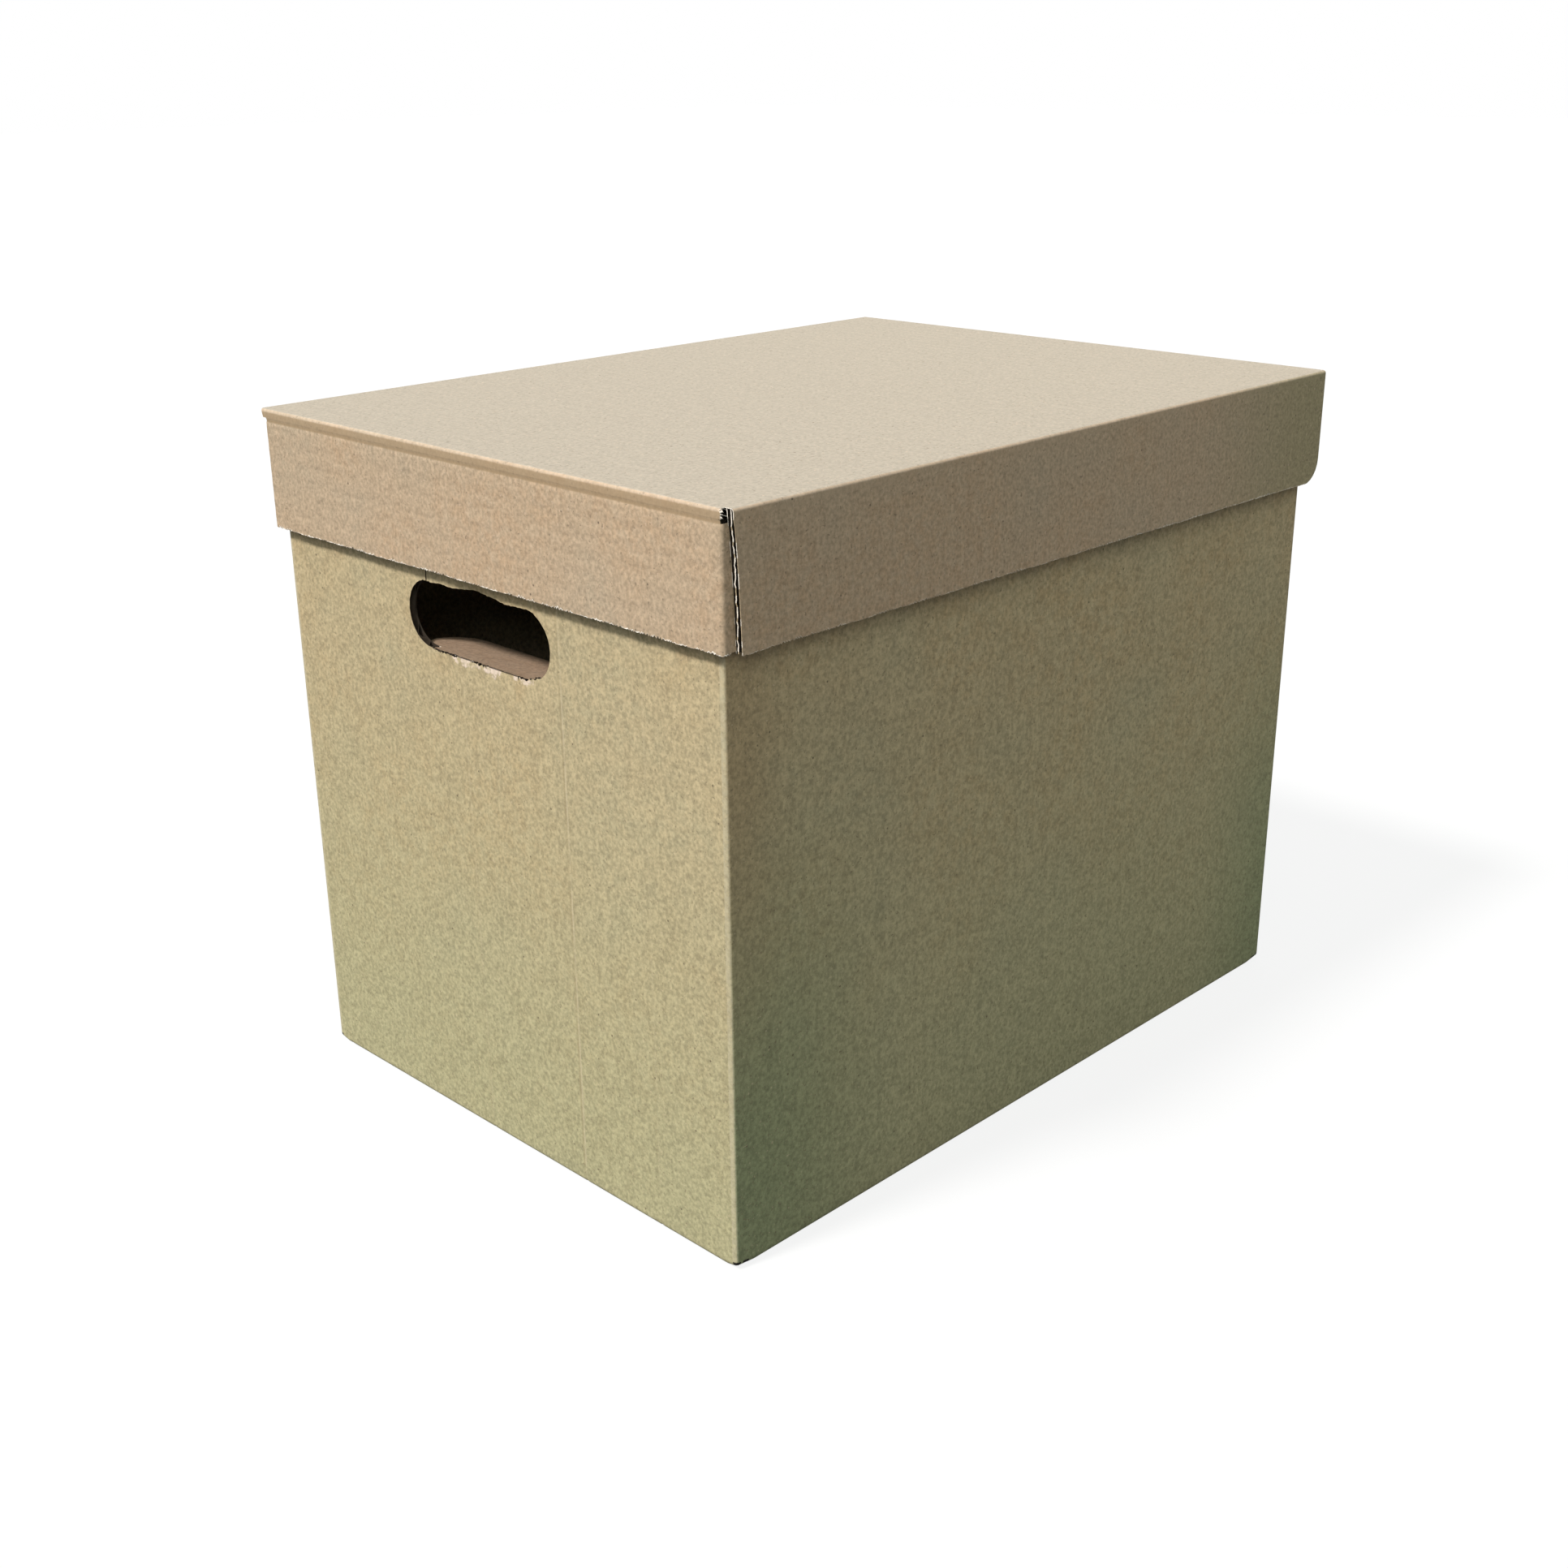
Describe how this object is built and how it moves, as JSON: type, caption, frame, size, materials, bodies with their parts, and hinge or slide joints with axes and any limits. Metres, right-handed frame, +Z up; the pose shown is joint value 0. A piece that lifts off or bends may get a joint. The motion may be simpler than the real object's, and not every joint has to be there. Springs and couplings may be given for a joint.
{
  "type": "document box",
  "caption": "Corrugated cardboard document box with a deep lift-off lid, a hand hole with a pushed-in flap in each end wall and a snap-lock bottom.",
  "frame": {"origin": "centre of the box's underside, on the surface it stands on", "axes": "+X along the box's length towards its rear end wall, +Y across its width towards its left side wall, +Z up towards the lid"},
  "size_m": [0.425, 0.318, 0.334],
  "materials": {
    "body_board": "matte",
    "lid_board": "matte",
    "flap_board": "matte"
  },
  "bodies": {
    "box_body": {"right_side_wall": "body_board", "left_side_wall": "body_board", "front_end_wall": "body_board", "rear_end_wall": "body_board", "glue_tab": "body_board", "lock_bottom_flap": "body_board", "bottom_lock_tongue": "body_board", "front_bottom_flap": "body_board", "rear_bottom_flap": "body_board", "main_bottom_flap": "body_board"},
    "front_flap": {"front_hand_hole_flap": "flap_board"},
    "rear_flap": {"rear_hand_hole_flap": "flap_board"},
    "lid": {"lid_top_panel": "lid_board", "lid_right_side_wall": "lid_board", "lid_left_side_wall": "lid_board", "lid_front_end_wall": "lid_board", "lid_rear_end_wall": "lid_board", "lid_front_right_corner_tab": "lid_board", "lid_front_left_corner_tab": "lid_board", "lid_rear_right_corner_tab": "lid_board", "lid_rear_left_corner_tab": "lid_board"}
  },
  "joints": [
    {"name": "lid_lift", "type": "slide", "parent": "box_body", "child": "lid", "axis": [0, 0, 1], "range_m": [0, 0.15]},
    {"name": "front_flap_hinge", "type": "hinge", "parent": "box_body", "child": "front_flap", "pos_m": [-0.2083, 0.0043, 0.24], "axis": [0, 1, 0], "range_deg": [-97, 0]},
    {"name": "rear_flap_hinge", "type": "hinge", "parent": "box_body", "child": "rear_flap", "pos_m": [0.2083, -0.0043, 0.24], "axis": [0, -1, 0], "range_deg": [-97, 0]}
  ]
}
